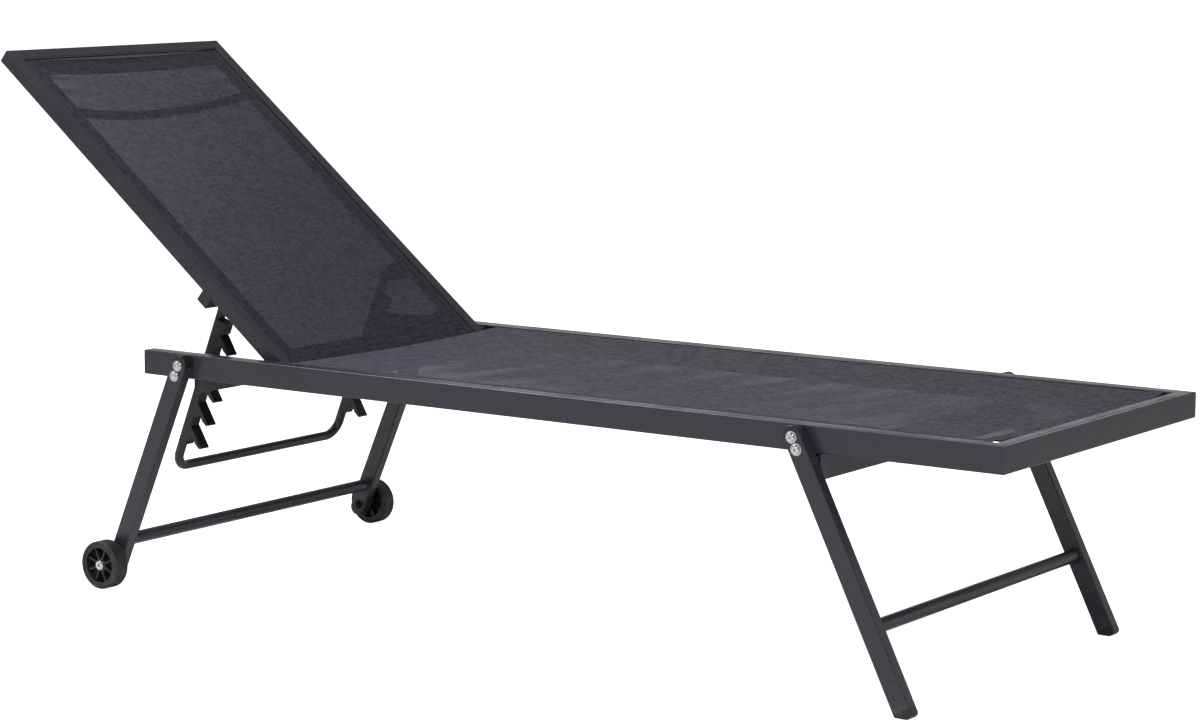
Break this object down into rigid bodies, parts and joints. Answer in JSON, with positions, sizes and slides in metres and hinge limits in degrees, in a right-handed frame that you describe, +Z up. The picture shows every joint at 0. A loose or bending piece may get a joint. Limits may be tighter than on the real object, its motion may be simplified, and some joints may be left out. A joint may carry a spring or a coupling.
{
  "type": "reclining sun lounger",
  "caption": "Low tube-frame sun lounger with fabric slings, a hooked-prop reclining back, splayed legs and wheels at the head end.",
  "frame": {"origin": "on the ground under the middle of the overall box, back at its resting angle", "axes": "+X to the foot end, +Y to the user's left, +Z up"},
  "size_m": [1.8566, 0.7, 0.8351],
  "materials": {
    "frame_paint": "satin powder coat, charcoal black",
    "black_plastic": "moulded, satin",
    "wheel_plastic": "moulded, slight gloss",
    "tyre_rubber": "matte",
    "bright_steel": "bright zinc",
    "plain_steel": "turned",
    "sling_fabric": "open coated mesh weave, charcoal black",
    "keder_plastic": "extruded"
  },
  "bodies": {
    "base_frame": {"front_leg_left": "frame_paint", "front_leg_right": "frame_paint", "rear_leg_left": "frame_paint", "rear_leg_right": "frame_paint", "leg_top_caps": "black_plastic", "front_foot_caps": "black_plastic", "rear_leg_caps": "black_plastic", "leg_bolts": "bright_steel", "leg_bolt_washers": "bright_steel", "leg_bolt_nuts": "bright_steel", "front_cross_tube": "frame_paint", "rear_cross_tube": "frame_paint", "side_rail_left": "frame_paint", "side_rail_right": "frame_paint", "foot_rail": "frame_paint", "rail_end_plugs": "black_plastic", "front_crossbar": "frame_paint", "catch_bar": "frame_paint", "seat_head_bar": "frame_paint", "axle_bolts": "bright_steel", "axle_nuts": "black_plastic", "axle_spacers": "plain_steel", "hinge_pins": "plain_steel", "hinge_bushes": "black_plastic", "hinge_nuts": "bright_steel", "seat_sling": "sling_fabric", "seat_keder_rods": "keder_plastic"},
    "backrest": {"back_side_tube_left": "frame_paint", "back_side_tube_right": "frame_paint", "back_top_tube": "frame_paint", "back_tube_plugs": "black_plastic", "back_bow_bar": "frame_paint", "back_bent_bar": "frame_paint", "back_sling": "sling_fabric", "back_keder_rods": "keder_plastic", "support_brackets": "frame_paint", "support_pins": "plain_steel", "support_pin_clips": "bright_steel"},
    "support_frame": {"support_tube": "frame_paint", "support_rack_left": "black_plastic", "support_rack_right": "black_plastic"},
    "wheel_left_body": {"wheel_left": "wheel_plastic", "tyre_left": "tyre_rubber"},
    "wheel_right_body": {"wheel_right": "wheel_plastic", "tyre_right": "tyre_rubber"}
  },
  "joints": [
    {"name": "backrest_recline", "type": "hinge", "parent": "base_frame", "child": "backrest", "pos_m": [-0.34573, 0, 0.3685], "axis": [0, 1, 0], "range_deg": [-38.5, 41.5]},
    {"name": "support_swing", "type": "hinge", "parent": "backrest", "child": "support_frame", "pos_m": [-0.49677, 0, 0.46053], "axis": [0, 1, 0], "range_deg": [-25, 23.5]},
    {"name": "wheel_left_spin", "type": "hinge", "parent": "base_frame", "child": "wheel_left_body", "pos_m": [-0.63746, 0, 0.038], "axis": [0, 1, 0], "continuous": true},
    {"name": "wheel_right_spin", "type": "hinge", "parent": "base_frame", "child": "wheel_right_body", "pos_m": [-0.63746, 0, 0.038], "axis": [0, 1, 0], "continuous": true}
  ],
  "couplings": [
    {"joint": "support_swing", "follows": "backrest_recline", "ratio": -0.6}
  ]
}
